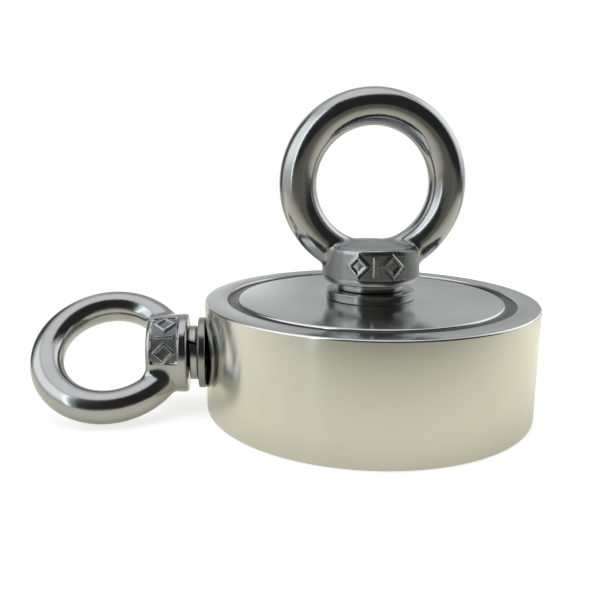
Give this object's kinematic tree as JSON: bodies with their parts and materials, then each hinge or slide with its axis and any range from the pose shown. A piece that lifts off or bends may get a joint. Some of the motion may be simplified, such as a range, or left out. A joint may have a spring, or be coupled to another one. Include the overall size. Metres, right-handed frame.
{
  "type": "magnet fishing magnet",
  "caption": "Round double-sided retrieval magnet in a nickel-plated steel drum, with a screw-in eyebolt on the top face and a smaller one on the side wall.",
  "frame": {"origin": "centre of the bottom pole face, which the object stands on", "axes": "+Z along the drum's axis towards the top eyebolt; the side eyebolt points along -X; +Y points away from the front"},
  "size_m": [0.1137, 0.075, 0.0712],
  "materials": {
    "nickel_plate": "gloss",
    "magnet_plate": "gloss",
    "potting_resin": "satin",
    "adhesive": "satin",
    "stainless": "polished",
    "spring_steel": "gloss",
    "washer_steel": "gloss"
  },
  "bodies": {
    "housing": {"steel_housing": "nickel_plate", "top_magnet": "magnet_plate", "bottom_magnet": "magnet_plate", "top_resin_ring": "potting_resin", "bottom_resin_ring": "potting_resin", "top_adhesive_layer": "adhesive", "bottom_adhesive_layer": "adhesive"},
    "top_washers": {"top_flat_washer": "washer_steel", "top_spring_washer": "spring_steel"},
    "top_bolt": {"top_eyebolt": "stainless"},
    "side_washers": {"side_flat_washer": "washer_steel", "side_spring_washer": "spring_steel"},
    "side_bolt": {"side_eyebolt": "stainless"}
  },
  "joints": [
    {"name": "top_eyebolt_lift", "type": "slide", "parent": "housing", "child": "top_washers", "axis": [0, 0, 1], "range_m": [0, 0.00714]},
    {"name": "top_eyebolt_turn", "type": "hinge", "parent": "top_washers", "child": "top_bolt", "pos_m": [0, 0, 0.029], "axis": [0, 0, 1], "range_deg": [0, 1710]},
    {"name": "side_eyebolt_travel", "type": "slide", "parent": "housing", "child": "side_washers", "axis": [-1, 0, 0], "range_m": [0, 0.01126]},
    {"name": "side_eyebolt_turn", "type": "hinge", "parent": "side_washers", "child": "side_bolt", "pos_m": [-0.0414, 0, 0.0125], "axis": [-1, 0, 0], "range_deg": [0, 3240]}
  ],
  "couplings": [
    {"joint": "top_eyebolt_lift", "follows": "top_eyebolt_turn", "m_per_rad": 0.00023873},
    {"joint": "side_eyebolt_travel", "follows": "side_eyebolt_turn", "m_per_rad": 0.00019894}
  ]
}
